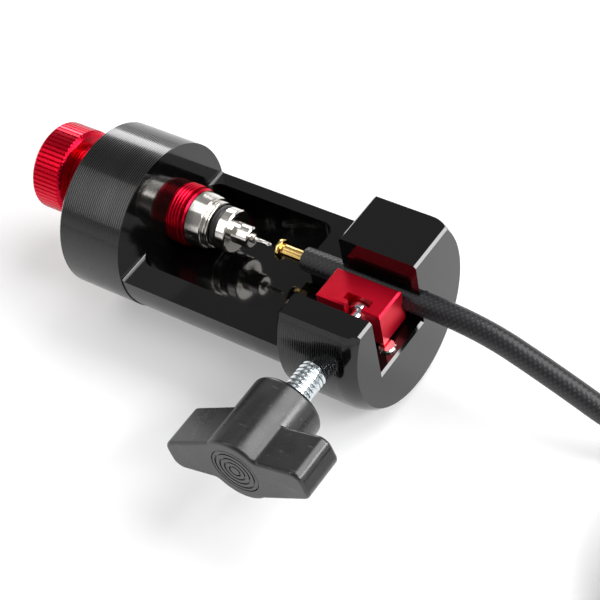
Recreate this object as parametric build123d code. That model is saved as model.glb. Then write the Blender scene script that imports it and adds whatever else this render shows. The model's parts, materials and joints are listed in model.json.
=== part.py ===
"""Bench press that pushes a brass insert into the end of a hydraulic brake hose.

Millimetres, +Z up. The origin is the middle of the rear head's clamping cylinder, on the
barrel's axis. +X runs along the barrel from the drive knob to the hose, and the clamp's
wing knob points along -Y. Everything that the press lines up (drive spindle, pusher,
insert and held hose) shares one tool axis, which is parallel to X and set off towards +Y.
"""
import os
from math import cos, pi, radians, sin, sqrt, tan

from build123d import *

os.makedirs("parts", exist_ok=True)

# ---------------------------------------------------------------- driving dimensions
# Body: a turned bar, milled open from above
barrel_radius = 17.75
front_head_radius = 20.0
rear_head_length = 15.8
window_length = 40.5
front_head_length = 17.7
rim_chamfer = 0.5
middle_relief = 0.2
crown_length = 4.0
crown_drop = 1.5
wall_fillet = 0.9
arm_top_z = 10.5
edge_chamfer = 0.5

# Pocket in the window's floor
pocket_near_y = -11.6
pocket_far_y = 14.6
pocket_depth = 7.2
pocket_length = 31.4
pocket_corner = 3.0

# Channel through the land and the front head, for the clamp block and the hose
channel_near_y = -11.6
channel_far_y = 4.0
channel_depth = 4.8

# Tool axis
tool_y = 4.3

# Drive spindle and its knob
spindle_radius = 6.5
spindle_pitch = 0.75
spindle_reach = 4.1
spindle_tip_collar = 1.0
spindle_tip_radius = 6.3
spindle_seat_radius = 5.6
knob_gap = 10.6
knob_length = 8.0
knob_radius = 9.7
knob_ribs = 60
rib_depth = 0.35
rib_crest_share = 0.6
knob_chamfer = 0.8
knob_face_radius = 8.9
knob_seat_depth = 1.1
knob_bolt_radius = 2.0
knob_bolt_head_radius = 3.5
knob_bolt_head_height = 2.2
knob_bolt_length = 12.0
knob_bolt_hex = 2.5

# Pusher
sleeve_radius = 6.0
sleeve_front_radius = 5.65
sleeve_length = 3.8
spigot_radius = 3.5
spigot_length = 5.0
ball_radius = 2.0
backing_ring_radius = 5.0
backing_ring_width = 1.4
o_ring_section = 1.7
tip_shank_radius = 2.9
tip_disc_radius = 4.7
tip_disc_width = 2.5
tip_stub_radius = 2.0
tip_stub_length = 5.0
nose_radius = 2.3
nose_length = 4.0
needle_radius = 0.425
needle_collar_radius = 1.0
needle_collar_length = 0.8
needle_reach = 4.6
needle_point = 0.7
needle_socket = 6.0
clip_width = 0.8
clip_outer_radius = 4.1
clip_inner_radius = 3.05

# Brass insert
insert_gap = 6.8
flange_radius = 2.2
flange_width = 1.0
insert_shank_radius = 1.4
insert_core_radius = 1.2
insert_bore_radius = 0.7
insert_mouth_radius = 1.2
insert_mouth_depth = 0.8
insert_grip = 3.3
insert_plain_length = 5.2
insert_barbs = 3

# Hose
hose_radius = 2.5
liner_radius = 1.8
hose_bore_radius = 1.45
insert_length_outside = 5.5

# Clamp block, its rest pins and T-slot
block_length = 14.8
block_front_recess = 3.0
block_near_y = -5.6
block_far_y = 2.3
block_half_height = 4.1
block_chamfer = 0.4
serration_pitch = 1.0
serration_depth = 0.3
pin_radius = 1.75
pin_depth = 3.0
front_pin_ahead = 0.2
rear_pin_inset = 3.8
pin_inset_y = 0.6
slot_lip = 1.4
slot_cavity_depth = 1.7
block_travel = 4.5

# Clamp stud
stud_from_front = 9.3
stud_radius = 2.9
stud_pitch = 1.0
stud_neck_radius = 1.7
stud_neck_length = 1.6
stud_head_radius = 2.75
stud_exposed = 8.4
stud_insert_radius = 3.6
stud_insert_length = 9.0

# Wing knob
hub_radius = 7.5
hub_length = 17.6
wing_span = 34.2
wing_half_thickness = 3.9
wing_tip_low = 2.6
wing_start = 7.8
wing_corner = 2.4
wing_root = 1.6
wing_angle = 15.0
wing_edge = 0.7
cap_radius = 5.25
cap_thickness = 1.3
cap_rings = 4
cap_ring_width = 0.35
cap_ring_depth = 0.25

# Clearances
thread_clearance = 0.05
swivel_clearance = 0.05
end_clearance = 0.05
hose_clearance = 0.02
slot_clearance = 0.2

# Loose hose: where it lies, as chosen corners, and the coil of the length not in use
floor_z = -front_head_radius
hose_on_floor_z = floor_z + hose_radius
coil_turn_radius = 27.5
coil_turns_across = 2
coil_layers = 2
coil_center = (152.0, -13.0)

# ---------------------------------------------------------------- stations along X
rear_face_x = -rear_head_length / 2
window_x = rear_head_length / 2
front_head_x = window_x + window_length
front_face_x = front_head_x + front_head_length
pocket_end_x = window_x + pocket_length

spindle_end_x = window_x + spindle_reach
sleeve_x = spindle_end_x + end_clearance
sleeve_end_x = spindle_end_x + sleeve_length
o_ring_x = sleeve_end_x + backing_ring_width
o_ring_room = o_ring_section + 2 * end_clearance
disc_x = o_ring_x + o_ring_room
nose_x = disc_x + tip_disc_width
nose_end_x = nose_x + nose_length
flange_x = nose_end_x + insert_gap
hose_end_x = flange_x + flange_width + insert_length_outside
insert_end_x = hose_end_x + insert_grip
knob_front_x = rear_face_x - knob_gap
knob_rear_x = knob_front_x - knob_length

block_end_x = front_face_x - block_front_recess
block_x = block_end_x - block_length
stud_x = front_face_x - stud_from_front

pusher_travel = min(insert_gap + insert_length_outside, knob_gap) - 2 * end_clearance
insert_travel = pusher_travel - insert_gap + end_clearance


# ---------------------------------------------------------------- helpers
def rod_x(x_start, x_end, radius, y=tool_y, z=0.0):
    """A round bar along +X."""
    bar = Cylinder(radius, x_end - x_start, align=(Align.CENTER, Align.CENTER, Align.MIN))
    return Pos(x_start, y, z) * Rot(0, 90, 0) * bar


def block_between(x_start, x_end, y_start, y_end, z_start, z_end):
    """A box given by its two opposite corners."""
    size = (x_end - x_start, y_end - y_start, z_end - z_start)
    return Pos(x_start, y_start, z_start) * Box(*size, align=(Align.MIN, Align.MIN, Align.MIN))


def turned_x(profile, y=tool_y):
    """A turned piece: profile is a list of (x, radius) corners, closed by its own first corner."""
    face = make_face(Polyline(*profile, close=True))
    return Pos(0, y, 0) * revolve(face, Axis.X)


def write(name, shape):
    """Save one node, as a single shape or as a group of separate solids."""
    export_step(shape, f"parts/{name}.step")


def serrated_rod(x_start, x_end):
    """The hose's seat: a bar with ring-shaped teeth, subtracted from whatever grips the hose."""
    low = hose_radius + hose_clearance
    high = low + serration_depth
    teeth = int((x_end - x_start) / serration_pitch)
    profile = [(x_start, 0), (x_start, low)]
    for tooth in range(teeth):
        tooth_x = x_start + tooth * serration_pitch
        profile.append((tooth_x + serration_pitch / 2, high))
        profile.append((tooth_x + serration_pitch, low))
    if x_end - profile[-1][0] > 0.01:
        profile.append((x_end, low))
    profile.append((x_end, 0))
    return turned_x(profile)


# ---------------------------------------------------------------- body
def make_body():
    """Turned bar with its window, pocket, channel, bores and pin holes."""
    crown_start_x = front_face_x - crown_length
    face_radius = front_head_radius - crown_drop
    lower = Polyline(
        (crown_start_x, front_head_radius),
        (front_head_x + edge_chamfer, front_head_radius),
        (front_head_x, front_head_radius - edge_chamfer),
        (front_head_x, barrel_radius - middle_relief),
        (window_x, barrel_radius - middle_relief),
        (window_x, barrel_radius),
        (rear_face_x + rim_chamfer, barrel_radius),
        (rear_face_x, barrel_radius - rim_chamfer),
        (rear_face_x, 0),
        (front_face_x, 0),
        (front_face_x, face_radius),
    )
    crown_bow = (crown_length**2 + crown_drop**2) / (2 * crown_drop)
    crown = RadiusArc((front_face_x, face_radius), (crown_start_x, front_head_radius), -crown_bow)
    bar = revolve(make_face([lower, crown]), Axis.X)

    # Window from above, with a fillet where the rails meet the rear wall
    reach = 2 * front_head_radius
    window = block_between(window_x, front_face_x + reach, -reach, reach, 0, reach)
    foot = window.edges().filter_by(Axis.Y).group_by(Axis.Z)[0].sort_by(Axis.X)[0]
    window = fillet(foot, wall_fillet)
    arms = block_between(front_head_x, front_face_x + reach, -reach, reach, -1, arm_top_z)
    window = window - arms
    bar = bar - window

    # Pocket under the pusher, open through the fillet above it
    pocket_width = pocket_far_y - pocket_near_y
    outline = RectangleRounded(pocket_length, pocket_width, pocket_corner)
    pocket_middle = Pos(window_x + pocket_length / 2, (pocket_near_y + pocket_far_y) / 2, -pocket_depth)
    bar = bar - pocket_middle * extrude(outline, pocket_depth + wall_fillet)

    # Channel for the clamp block, with the serrated half-round seat in its far wall
    channel_x = pocket_end_x - pocket_corner - 0.5
    channel = block_between(
        channel_x, front_face_x + 1, channel_near_y, channel_far_y, -channel_depth, reach
    )
    bar = bar - channel - serrated_rod(pocket_end_x - 1, front_face_x + 1)

    # Light chamfers on the arms' top edges and along the channel's floor at the front
    front_edges = bar.edges().filter_by(Axis.Y).filter_by(
        lambda edge: abs(edge.center().X - front_face_x) < 0.01 and edge.center().Z > -channel_depth - 0.01
    )
    rear_edges = bar.edges().filter_by(Axis.Y).filter_by(
        lambda edge: abs(edge.center().X - front_head_x) < 0.01 and edge.center().Z > arm_top_z - 0.01
    )
    bar = chamfer(front_edges + rear_edges, edge_chamfer)

    # Threaded bores for the spindle and the clamp stud
    bar = bar - rod_x(rear_face_x - 1, window_x + 1, spindle_radius + thread_clearance)
    stud_bore = Cylinder(stud_radius + thread_clearance, front_head_radius)
    stud_bore = Pos(stud_x, channel_near_y - front_head_radius / 2 + 1, 0) * Rot(90, 0, 0) * stud_bore
    bar = bar - stud_bore

    for pin_x in pin_places():
        hole = Cylinder(pin_radius, pin_depth, align=(Align.CENTER, Align.CENTER, Align.MAX))
        bar = bar - Pos(pin_x, pin_y(), -channel_depth) * hole
    return bar


# ---------------------------------------------------------------- rest pins
def pin_places():
    """Stations of the two pins that carry the clamp block."""
    return (block_end_x + front_pin_ahead, block_x + rear_pin_inset)


def pin_y():
    """Both pins stand just inside the block's near edge."""
    return block_near_y + pin_inset_y


def make_rest_pins():
    """Two dowels in the channel's floor: the clamp block slides on their tops."""
    top_z = -block_half_height - end_clearance
    bottom_z = -channel_depth - pin_depth
    pin = Cylinder(pin_radius, top_z - bottom_z, align=(Align.CENTER, Align.CENTER, Align.MIN))
    pin = chamfer(pin.edges().group_by(Axis.Z)[-1], 0.25)
    return Compound([Pos(pin_x, pin_y(), bottom_z) * pin for pin_x in pin_places()])


# ---------------------------------------------------------------- drive spindle group
def make_spindle():
    """Fine-threaded spindle, drilled at the front for the pusher's swivel."""
    thread_end_x = spindle_end_x - spindle_tip_collar
    bar = turned_x([
        (knob_rear_x + knob_bolt_head_height, 0),
        (knob_rear_x + knob_bolt_head_height, spindle_seat_radius),
        (knob_front_x - knob_seat_depth, spindle_seat_radius),
        (knob_front_x - knob_seat_depth, spindle_radius - 0.5),
        (knob_front_x - knob_seat_depth + 0.5, spindle_radius),
        (thread_end_x - 0.4, spindle_radius),
        (thread_end_x, spindle_tip_radius - 0.2),
        (thread_end_x + 0.2, spindle_tip_radius),
        (spindle_end_x - 0.3, spindle_tip_radius),
        (spindle_end_x, spindle_tip_radius - 0.3),
        (spindle_end_x, 0),
    ])
    bar = bar - rod_x(swivel_bottom_x(), spindle_end_x + 1, spigot_radius + swivel_clearance)
    bar = bar - rod_x(clip_x(), clip_x() + clip_width, clip_outer_radius)
    bolt_start_x = knob_rear_x + knob_bolt_head_height
    return bar - rod_x(bolt_start_x - 1, bolt_start_x + knob_bolt_length, knob_bolt_radius)


def swivel_bottom_x():
    """Floor of the spindle's front bore, against which the thrust ball turns."""
    return sleeve_x - spigot_length - 2 * ball_radius - end_clearance


def clip_x():
    """Station of the spring clip that keeps the pusher's spigot in the spindle."""
    return sleeve_x - spigot_length / 2


def make_swivel_clip():
    """Spring ring in the spindle's inner groove, running in the spigot's wider groove."""
    ring = rod_x(clip_x(), clip_x() + clip_width, clip_outer_radius)
    return ring - rod_x(clip_x() - 1, clip_x() + clip_width + 1, clip_inner_radius)


def make_drive_knob():
    """Straight-knurled knob on the spindle's rear end."""
    corners = []
    for rib in range(knob_ribs):
        start = 2 * pi * rib / knob_ribs
        step = 2 * pi / knob_ribs
        corners.append(((knob_radius - rib_depth) * cos(start), (knob_radius - rib_depth) * sin(start)))
        for share in ((1 - rib_crest_share) / 2, (1 + rib_crest_share) / 2):
            angle = start + share * step
            corners.append((knob_radius * cos(angle), knob_radius * sin(angle)))
    drum = extrude(make_face(Polyline(*corners, close=True)), knob_length)
    drum = Pos(knob_rear_x, tool_y, 0) * Rot(0, 90, 0) * drum
    envelope = turned_x([
        (knob_rear_x, 0),
        (knob_rear_x, knob_radius - knob_chamfer),
        (knob_rear_x + knob_chamfer, knob_radius),
        (knob_front_x - (knob_radius - knob_face_radius), knob_radius),
        (knob_front_x, knob_face_radius),
        (knob_front_x, 0),
    ])
    knob = drum & envelope
    seat_end_x = knob_front_x - knob_seat_depth
    knob = knob - rod_x(knob_rear_x + knob_bolt_head_height, seat_end_x, spindle_seat_radius)
    knob = knob - rod_x(seat_end_x, knob_front_x + 1, spindle_radius)
    return knob - rod_x(knob_rear_x - 1, knob_rear_x + knob_bolt_head_height, knob_bolt_head_radius)


def make_knob_bolt():
    """Socket bolt that draws the knob onto the spindle."""
    head_end_x = knob_rear_x + knob_bolt_head_height
    head = rod_x(knob_rear_x + 0.2, head_end_x, knob_bolt_head_radius - 0.1)
    shank = rod_x(head_end_x - 0.1, head_end_x + knob_bolt_length - 1, knob_bolt_radius)
    socket = extrude(RegularPolygon(knob_bolt_hex / 2 / cos(radians(30)), 6), knob_bolt_hex)
    socket = Pos(knob_rear_x - 0.8, tool_y, 0) * Rot(0, 90, 0) * socket
    return head + shank - socket


# ---------------------------------------------------------------- pusher group
def make_pusher_sleeve():
    """Sleeve that doesn't turn with the spindle, with its spigot and front socket."""
    spigot_x = sleeve_x - spigot_length
    groove_x = clip_x() - end_clearance * 2
    groove_end_x = clip_x() + clip_width + end_clearance * 2
    body = turned_x([
        (spigot_x, 0),
        (spigot_x, spigot_radius - 0.3),
        (spigot_x + 0.3, spigot_radius),
        (groove_x, spigot_radius),
        (groove_x, clip_inner_radius - swivel_clearance),
        (groove_end_x, clip_inner_radius - swivel_clearance),
        (groove_end_x, spigot_radius),
        (sleeve_x, spigot_radius),
        (sleeve_x, sleeve_radius - 0.25),
        (sleeve_x + 0.25, sleeve_radius),
        (sleeve_end_x - 0.25, sleeve_front_radius),
        (sleeve_end_x, sleeve_front_radius - 0.25),
        (sleeve_end_x, 0),
    ])
    return body - rod_x(sleeve_end_x - tip_stub_length, sleeve_end_x + 1, tip_stub_radius)


def make_thrust_ball():
    """Ball between the turning spindle and the pusher's spigot."""
    ball_x = sleeve_x - spigot_length - ball_radius
    return Pos(ball_x, tool_y, 0) * Sphere(ball_radius)


def make_backing_ring():
    """Thin grooved ring behind the O-ring."""
    middle_x = sleeve_end_x + backing_ring_width / 2
    return turned_x([
        (sleeve_end_x, tip_shank_radius),
        (sleeve_end_x, backing_ring_radius - 0.15),
        (sleeve_end_x + 0.15, backing_ring_radius),
        (middle_x - 0.2, backing_ring_radius),
        (middle_x, backing_ring_radius - 0.25),
        (middle_x + 0.2, backing_ring_radius),
        (o_ring_x - 0.15, backing_ring_radius),
        (o_ring_x, backing_ring_radius - 0.15),
        (o_ring_x, tip_shank_radius),
    ])


def make_o_ring():
    """Rubber ring that steadies the pusher tip."""
    section = o_ring_section / 2
    ring = Torus(tip_shank_radius + section, section)
    return Pos(o_ring_x + o_ring_room / 2, tool_y, 0) * Rot(0, 90, 0) * ring


def make_press_tip():
    """Stepped tip: stub in the sleeve, shank under the rings, disc and nose."""
    tip = turned_x([
        (sleeve_end_x - tip_stub_length, 0),
        (sleeve_end_x - tip_stub_length, tip_stub_radius),
        (sleeve_end_x, tip_stub_radius),
        (sleeve_end_x, tip_shank_radius),
        (disc_x, tip_shank_radius),
        (disc_x, tip_disc_radius - 0.2),
        (disc_x + 0.2, tip_disc_radius),
        (nose_x - 0.2, tip_disc_radius),
        (nose_x, tip_disc_radius - 0.2),
        (nose_x, nose_radius),
        (nose_end_x - 0.3, nose_radius),
        (nose_end_x, nose_radius - 0.3),
        (nose_end_x, 0),
    ])
    return tip - rod_x(nose_end_x - needle_socket, nose_end_x + 1, needle_radius)


def make_needle():
    """Guide needle that enters the insert's bore."""
    needle_end_x = nose_end_x + needle_reach
    return turned_x([
        (nose_end_x - needle_socket, 0),
        (nose_end_x - needle_socket, needle_radius),
        (nose_end_x, needle_radius),
        (nose_end_x, needle_collar_radius),
        (nose_end_x + needle_collar_length - 0.3, needle_collar_radius),
        (nose_end_x + needle_collar_length, needle_radius),
        (needle_end_x - needle_point, needle_radius),
        (needle_end_x, needle_radius / 3),
        (needle_end_x, 0),
    ])


# ---------------------------------------------------------------- insert and hose
def make_insert():
    """Flanged brass tube: mouth for the needle's collar, and saw-tooth barbs that grip the hose."""
    profile = [
        (flange_x, insert_mouth_radius),
        (flange_x, flange_radius - 0.2),
        (flange_x + 0.2, flange_radius),
        (flange_x + flange_width - 0.1, flange_radius),
        (flange_x + flange_width, flange_radius - 0.1),
        (flange_x + flange_width, insert_shank_radius),
        (flange_x + flange_width + insert_plain_length, insert_shank_radius),
    ]
    barbs_x = flange_x + flange_width + insert_plain_length
    barb_pitch = (insert_end_x - barbs_x) / insert_barbs
    profile.append((barbs_x, insert_core_radius))
    for barb in range(insert_barbs):
        barb_x = barbs_x + barb * barb_pitch
        profile.append((barb_x + 0.2, insert_shank_radius))
        profile.append((barb_x + barb_pitch, insert_core_radius))
    profile.append((insert_end_x, insert_bore_radius))
    profile.append((flange_x + insert_mouth_depth, insert_bore_radius))
    profile.append((flange_x + insert_mouth_depth, insert_mouth_radius))
    return turned_x(profile)


def make_hose_liner():
    """Inner tube of the clamped stretch of hose."""
    liner = rod_x(hose_end_x, front_face_x, liner_radius)
    return liner - rod_x(hose_end_x - 1, front_face_x + 1, hose_bore_radius)


def make_hose_jacket():
    """Outer jacket of the clamped stretch, from the cut end to the body's front face."""
    jacket = rod_x(hose_end_x, front_face_x, hose_radius)
    return jacket - rod_x(hose_end_x - 1, front_face_x + 1, liner_radius)


def hose_route():
    """Corners of the loose hose: out of the front face, down to the bench, to the coil."""
    return [
        (front_face_x, tool_y, 0),
        (front_face_x + 12, tool_y, 0),
        (front_face_x + 28, 4.2, -6.2),
        (front_face_x + 46, 3.8, -14.2),
        (front_face_x + 60, 9.2, hose_on_floor_z),
        (coil_center[0] - 10.75, coil_center[1] + 28.0, hose_on_floor_z),
    ]


def make_hose_run():
    """The loose hose as straight runs joined by tangent arcs; prints each arc's radius."""
    corners = [Vector(*corner) for corner in hose_route()]
    radii = []
    for before, corner, after in zip(corners, corners[1:], corners[2:]):
        turn = (corner - before).get_angle(after - corner)
        shorter = min((corner - before).length, (after - corner).length)
        radii.append(0.45 * shorter / tan(radians(turn) / 2))
    path = FilletPolyline(*corners, radius=radii)
    section = Plane(origin=path @ 0, z_dir=path % 0) * Circle(hose_radius)
    tube = sweep(section, path=path)
    print("hose run: arc radii", [round(radius, 1) for radius in radii])
    print("hose run: length", round(path.length, 1), "volume over section x length",
          round(tube.volume / (pi * hose_radius**2 * path.length), 4))
    return tube


def make_hose_coil():
    """Outer shape of the neat flat coil of hose that isn't in use."""
    half_width = coil_turns_across * hose_radius
    height = 2 * hose_radius * coil_layers
    outer = Cylinder(coil_turn_radius + half_width, height, align=(Align.CENTER, Align.CENTER, Align.MIN))
    inner = Cylinder(coil_turn_radius - half_width, height, align=(Align.CENTER, Align.CENTER, Align.MIN))
    return Pos(*coil_center, floor_z) * (outer - inner)


# ---------------------------------------------------------------- clamp group
def stud_head_length():
    """Head height that leaves the clearance on both sides inside the T-slot."""
    return slot_cavity_depth - slot_clearance


def make_clamp_block():
    """Sliding jaw with its serrated seat and the T-slot, open at the top, for the stud."""
    jaw = block_between(block_x, block_end_x, block_near_y, block_far_y,
                        -block_half_height, block_half_height)
    jaw = chamfer(jaw.edges().filter_by(Axis.X) + jaw.edges().filter_by(Axis.Y), block_chamfer)
    jaw = jaw - serrated_rod(block_x - 1, block_end_x + 1)
    slot_top = block_half_height + 1
    for half_width, depth_start, depth_end in (
        (stud_neck_radius + slot_clearance, -1, slot_lip + 0.1),
        (stud_head_radius + slot_clearance, slot_lip, slot_lip + slot_cavity_depth),
    ):
        y_start = block_near_y + depth_start
        y_end = block_near_y + depth_end
        jaw = jaw - block_between(stud_x - half_width, stud_x + half_width, y_start, y_end, 0, slot_top)
        round_end = Cylinder(half_width, y_end - y_start)
        jaw = jaw - Pos(stud_x, (y_start + y_end) / 2, 0) * Rot(90, 0, 0) * round_end
    return jaw


def hub_inner_y():
    """Where the wing knob's inner face lies, outside the front head."""
    return -front_head_radius - stud_exposed


def knob_frame():
    """The wing knob's own frame: origin at its inner face, +Z outwards along the stud."""
    return Plane(origin=(stud_x, hub_inner_y(), 0), x_dir=(1, 0, 0), z_dir=(0, -1, 0))


def make_clamp_stud():
    """Threaded stud with its neck and T-head, moulded into the wing knob."""
    head_start = -(block_near_y + slot_lip + slot_clearance / 2 - hub_inner_y())
    head_end = head_start - stud_head_length()
    thread_end = -(block_near_y - stud_neck_length - hub_inner_y())
    profile = [
        (0, head_end),
        (stud_head_radius - 0.2, head_end),
        (stud_head_radius, head_end + 0.2),
        (stud_head_radius, head_start),
        (stud_neck_radius, head_start),
        (stud_neck_radius, thread_end),
        (stud_radius - 0.6, thread_end),
        (stud_radius, thread_end + 0.6),
        (stud_radius, 0),
        (stud_insert_radius, 0),
        (stud_insert_radius, stud_insert_length),
        (0, stud_insert_length),
    ]
    half = make_face(Polyline(*profile, close=True))
    stud = revolve(Plane.XZ * half, Axis.Z)
    return knob_frame() * stud


def wing_outline():
    """End view of the knob: hub and two swept wings, the same after half a turn."""
    half_span = wing_span / 2
    wing = make_face(Polyline(
        (0, wing_half_thickness),
        (half_span, wing_half_thickness),
        (half_span, -wing_tip_low),
        (0, -hub_radius),
        close=True,
    ))
    outline = wing + Rot(0, 0, 180) * wing + Circle(hub_radius)
    tips = outline.vertices().filter_by(lambda v: abs(v.X) > half_span - 0.1)
    outline = fillet(tips, wing_corner)
    root_x = sqrt(hub_radius**2 - wing_half_thickness**2)
    roots = outline.vertices().filter_by(
        lambda v: abs(abs(v.X) - root_x) < 0.05 and abs(abs(v.Y) - wing_half_thickness) < 0.05
    )
    return fillet(roots, wing_root)


def make_wing_knob():
    """Moulded two-wing knob with a recess for its end cap."""
    wings = Pos(0, 0, wing_start) * extrude(wing_outline(), hub_length - wing_start)
    wings = fillet(wings.edges().group_by(Axis.Z)[-1], wing_edge)
    wings = fillet(wings.edges().group_by(Axis.Z)[0], wing_edge)
    hub = Cylinder(hub_radius, hub_length - 1, align=(Align.CENTER, Align.CENTER, Align.MIN))
    hub = fillet(hub.edges().group_by(Axis.Z)[0], 1.0)
    knob = hub + wings
    knob = knob - Pos(0, 0, hub_length - cap_thickness) * Cylinder(
        cap_radius + end_clearance, cap_thickness + 1, align=(Align.CENTER, Align.CENTER, Align.MIN))
    knob = knob - Cylinder(
        stud_insert_radius, stud_insert_length, align=(Align.CENTER, Align.CENTER, Align.MIN))
    return knob_frame() * (Rot(0, 0, wing_angle) * knob)


def make_knob_cap():
    """Round end cap with concentric grooves."""
    cap = Cylinder(cap_radius, cap_thickness, align=(Align.CENTER, Align.CENTER, Align.MIN))
    cap = chamfer(cap.edges().group_by(Axis.Z)[-1], 0.2)
    ring_step = (cap_radius - 1.0) / cap_rings
    for ring in range(cap_rings):
        outer_radius = 1.0 + ring * ring_step + cap_ring_width
        groove = Cylinder(outer_radius, 1) - Cylinder(outer_radius - cap_ring_width, 1)
        cap = cap - Pos(0, 0, cap_thickness - cap_ring_depth + 0.5) * groove
    return knob_frame() * (Pos(0, 0, hub_length - cap_thickness) * cap)


# ---------------------------------------------------------------- write every node
write("body", make_body())
write("rest_pins", make_rest_pins())
write("spindle", make_spindle())
write("swivel_clip", make_swivel_clip())
write("drive_knob", make_drive_knob())
write("knob_bolt", make_knob_bolt())
write("pusher_sleeve", make_pusher_sleeve())
write("thrust_ball", make_thrust_ball())
write("backing_ring", make_backing_ring())
write("o_ring", make_o_ring())
write("press_tip", make_press_tip())
write("needle", make_needle())
write("brass_insert", make_insert())
write("hose_liner", make_hose_liner())
write("hose_jacket", make_hose_jacket())
write("hose_run", make_hose_run())
write("hose_coil", make_hose_coil())
write("clamp_block", make_clamp_block())
write("clamp_stud", make_clamp_stud())
write("wing_knob", make_wing_knob())
write("knob_cap", make_knob_cap())
print("pusher travel", round(pusher_travel, 3), "over", round(pusher_travel / spindle_pitch, 2), "turns")
print("insert travel", round(insert_travel, 3))
print("clamp block travel", block_travel, "over", round(block_travel / stud_pitch, 2), "turns")
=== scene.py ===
# %% [markdown]
# # Brake hose insert press
#
# A bench press for bicycle brake hose. A red screw pushes a plated nose and its needle at a
# brass insert, and drives the insert into a hose that a side clamp holds still. The exact
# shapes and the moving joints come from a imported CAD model. This lesson dresses it: real
# threads, softened edges, a lying hose, and a finish for every surface.

import json
from math import cos, pi, radians, sin

import bmesh
import bpy
from mathutils import Matrix, Vector

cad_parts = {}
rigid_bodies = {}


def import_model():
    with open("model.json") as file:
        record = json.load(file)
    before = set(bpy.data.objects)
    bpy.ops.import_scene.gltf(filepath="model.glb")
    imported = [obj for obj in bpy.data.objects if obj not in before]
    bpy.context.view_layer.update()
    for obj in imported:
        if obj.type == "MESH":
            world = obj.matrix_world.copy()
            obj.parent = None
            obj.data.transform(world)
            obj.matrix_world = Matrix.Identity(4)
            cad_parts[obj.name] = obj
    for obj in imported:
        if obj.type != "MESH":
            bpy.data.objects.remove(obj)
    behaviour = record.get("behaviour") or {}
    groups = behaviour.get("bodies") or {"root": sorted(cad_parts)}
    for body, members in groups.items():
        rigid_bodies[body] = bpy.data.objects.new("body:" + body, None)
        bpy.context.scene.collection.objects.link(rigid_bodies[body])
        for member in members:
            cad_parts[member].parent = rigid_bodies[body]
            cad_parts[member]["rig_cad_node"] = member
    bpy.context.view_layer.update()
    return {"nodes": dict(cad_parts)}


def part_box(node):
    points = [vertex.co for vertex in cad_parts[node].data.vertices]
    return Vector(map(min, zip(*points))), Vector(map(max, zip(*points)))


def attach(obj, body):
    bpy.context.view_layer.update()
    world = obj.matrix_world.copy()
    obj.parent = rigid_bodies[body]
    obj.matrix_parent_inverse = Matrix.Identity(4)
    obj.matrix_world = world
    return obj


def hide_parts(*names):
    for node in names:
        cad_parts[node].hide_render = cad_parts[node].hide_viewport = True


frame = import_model()

# %% [markdown]
# ## Where things are
#
# Every place below is asked of the CAD nodes, in metres. +X runs along the barrel towards the
# hose, +Z is up, and the clamp's knob points along -Y. Spindle, pusher, insert and held hose
# share one line, the tool axis, which runs parallel to X.

# %% Stations and axes
MM = 0.001


def low(node, axis):
    """A CAD node's lowest coordinate along axis 0, 1 or 2."""
    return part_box(node)[0][axis]


def high(node, axis):
    """A CAD node's highest coordinate along axis 0, 1 or 2."""
    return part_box(node)[1][axis]


def middle(node, axis):
    """The middle of a CAD node along one axis."""
    return (low(node, axis) + high(node, axis)) / 2


def node_radius(node):
    """Half of a round CAD node's width along Y, in millimetres."""
    return (high(node, 1) - low(node, 1)) / 2 / MM


tool_y = middle("hose_jacket", 1)
bench_z = low("body", 2)
stud_x = middle("clamp_stud", 0)

# %% [markdown]
# ## Camera
#
# A long lens close to the bench, looking down past the clamp's knob at the open window. It
# comes first, because the hose may only be hidden away where this camera doesn't see it.

# %% Place the camera
sensor_width = 36.0  # mm
focal_length = 107.5  # mm
nearest, farthest = 0.02, 20  # m, the depth that the camera sees
camera_place = (0.2102, -0.1810, 0.2561)
view_direction = (-0.4722, 0.4981, -0.7273)
picture_right = (0.8184, 0.5542, -0.1517)

camera_data = bpy.data.cameras.new("bench_camera")
camera = bpy.data.objects.new("bench_camera", camera_data)
bpy.context.collection.objects.link(camera)
bpy.context.scene.camera = camera
camera_data.sensor_width = sensor_width
camera_data.lens = focal_length
camera_data.clip_start = nearest
camera_data.clip_end = farthest
camera.location = camera_place
forward = Vector(view_direction).normalized()
rightward = Vector(picture_right)
rightward = (rightward - forward * rightward.dot(forward)).normalized()
upward = rightward.cross(forward)
camera.rotation_euler = Matrix((rightward, upward, -forward)).transposed().to_euler()
bpy.context.scene.view_settings.view_transform = "Standard"
print("camera", [round(v, 3) for v in camera.location], "lens", camera_data.lens, "mm")

# %% [markdown]
# ## The hose
#
# Five millimetre brake hose is a stiff nylon tube: it leaves the clamp straight, bends slowly
# down to the bench and is then coiled for storage. Its centre line could be a chain of arcs, but
# one smooth NURBS spline has no kinks where they meet. It starts as a few control points.

# %% Route of the loose hose
hose_diameter = high("hose_jacket", 1) - low("hose_jacket", 1)
hose_radius = hose_diameter / 2
# Control points in metres: straight out of the clamp, then down towards the bench
loose_route = [
    (0.0661, 0.0043, 0.0),
    (0.0781, 0.0043, 0.0),
    (0.0941, 0.0042, -0.0062),
    (0.1121, 0.0038, -0.0142),
    (0.1261, 0.0092, -0.0175),
]
print("hose", round(hose_diameter / MM, 2), "mm across;", len(loose_route), "points to the bench")

# %% [markdown]
# The rest of the hose is a flat coil where the camera doesn't see it. It is planned in turns, as
# a rope is laid by hand: an outer turn, inwards, up by one hose, and out again on top. The coil's
# middle, radius and height are those of its CAD node.

# %% Plan of the coil
coil_middle = Vector((middle("hose_coil", 0), middle("hose_coil", 1)))
outer_turn = (high("hose_coil", 0) - low("hose_coil", 0)) / 2 - hose_radius
inner_turn = outer_turn - hose_diameter
lower_layer_z = low("hose_coil", 2) + hose_radius
upper_layer_z = lower_layer_z + hose_diameter
points_per_turn = 16
first_angle = radians(111)
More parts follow.
